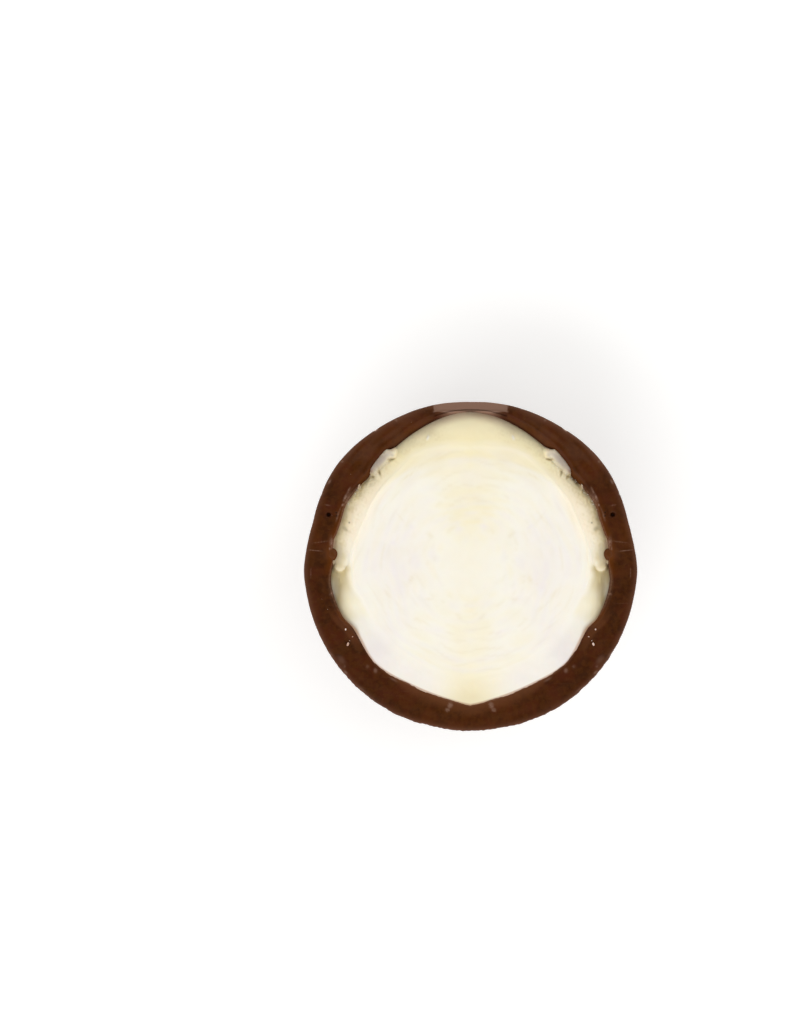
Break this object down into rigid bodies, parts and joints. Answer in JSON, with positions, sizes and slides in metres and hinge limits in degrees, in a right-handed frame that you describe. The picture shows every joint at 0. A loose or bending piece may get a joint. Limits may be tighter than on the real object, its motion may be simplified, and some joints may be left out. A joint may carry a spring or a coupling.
{
  "type": "praline chocolate half",
  "caption": "Half of a filled chocolate ball, cut through the middle: a moulded dark shell round a pale cream filling, cut face up, resting on a small flat spot of its dome.",
  "frame": {"origin": "middle of the small flat foot under the dome, directly below the ball's centre", "axes": "+Z out of the level cut face, +Y towards the pointed top of the filling's outline, +X to the right with the cut face seen from above"},
  "size_m": [0.0282, 0.0278, 0.0129],
  "materials": {
    "chocolate": "satin dark milk chocolate, smooth and slightly scuffed on the dome, matte with drag marks where it is cut",
    "cream": "dense ivory cream, smoothed by the knife in the middle and torn at the edge"
  },
  "bodies": {
    "root": {"shell": "chocolate", "filling": "cream"}
  },
  "joints": []
}
